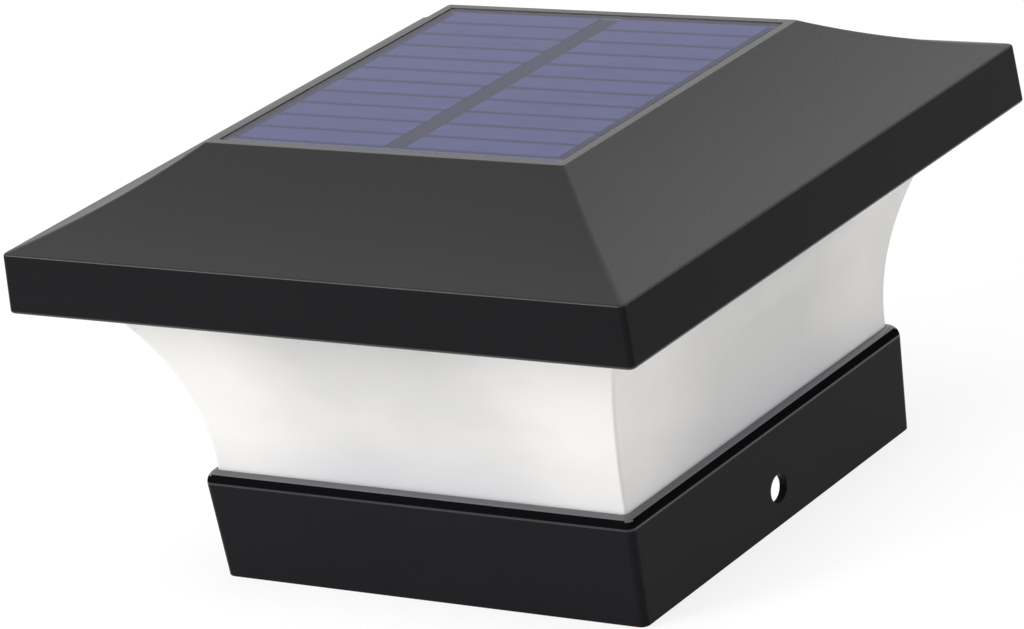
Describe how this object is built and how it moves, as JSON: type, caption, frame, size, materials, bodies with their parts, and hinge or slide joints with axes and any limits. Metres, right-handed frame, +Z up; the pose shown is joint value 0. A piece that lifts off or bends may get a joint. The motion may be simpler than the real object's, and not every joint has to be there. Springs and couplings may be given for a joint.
{
  "type": "solar deck post cap light",
  "caption": "Square solar post cap light: dark hollow-sided roof with a solar panel, flared frosted diffuser and a collar that slides over a timber deck post.",
  "frame": {"origin": "centre of the collar's foot, on the plane of its lower rim", "axes": "+Z up through the roof, X through the two side screw holes, -Y towards the side that the picture shows on the left"},
  "size_m": [0.141, 0.141, 0.0865],
  "materials": {
    "roof_plastic": "satin moulded, fine grain",
    "clear_resin": "clear potting resin, slightly frosted",
    "silicon": "blue-violet cells under resin",
    "dark_laminate": "dark circuit board",
    "tape": "double-sided tape",
    "sealant": "soft sealant",
    "lead_red": "lead insulation",
    "lead_black": "lead insulation",
    "gasket_rubber": "soft foam",
    "white_plastic": "moulded",
    "screw_steel": "zinc plated",
    "battery_steel": "nickel plated",
    "battery_sleeve": "plain shrink sleeve",
    "contact_brass": "stamped sheet",
    "green_laminate": "solder mask",
    "white_laminate": "white solder mask",
    "chip_resin": "moulded resin",
    "copper_wire": "enamelled winding",
    "ferrite": "pressed ferrite",
    "capacitor_blue": "plain sleeve",
    "phosphor": "yellow phosphor gel",
    "frosted_plastic": "frosted translucent, satin",
    "collar_plastic": "satin moulded"
  },
  "bodies": {
    "housing": {"roof_cap": "roof_plastic", "panel_glaze": "clear_resin", "solar_cells": "silicon", "panel_board": "dark_laminate", "panel_tape": "tape", "wire_seal": "sealant", "panel_lead_red": "lead_red", "panel_lead_black": "lead_black", "roof_gasket": "gasket_rubber", "tray": "white_plastic", "tray_screws": "screw_steel", "battery_can": "battery_steel", "battery_sleeve": "battery_sleeve", "battery_spring": "battery_steel", "spring_plate": "contact_brass", "nub_plate": "contact_brass", "battery_lead_red": "lead_red", "battery_lead_black": "lead_black", "control_board": "green_laminate", "control_chip": "chip_resin", "choke_coil": "copper_wire", "choke_core": "ferrite", "capacitor": "capacitor_blue", "diode": "chip_resin", "control_board_screws": "screw_steel", "switch_case": "battery_steel", "led_board_front": "white_laminate", "led_board_rear": "white_laminate", "led_bodies": "white_plastic", "led_windows": "phosphor", "led_board_screws": "screw_steel", "led_lead_red": "lead_red", "led_lead_black": "lead_black", "diffuser": "frosted_plastic", "flange_screws": "screw_steel", "base_collar": "collar_plastic", "collar_screws": "screw_steel"},
    "battery_door": {"battery_door": "white_plastic", "battery_door_screws": "screw_steel"},
    "switch_slider": {"switch_slider": "white_plastic"}
  },
  "joints": [
    {"name": "battery_door_lift", "type": "slide", "parent": "housing", "child": "battery_door", "axis": [0, 0, -1], "range_m": [0, 0.04]},
    {"name": "switch_slide", "type": "slide", "parent": "housing", "child": "switch_slider", "axis": [1, 0, 0], "range_m": [0, 0.002]}
  ]
}
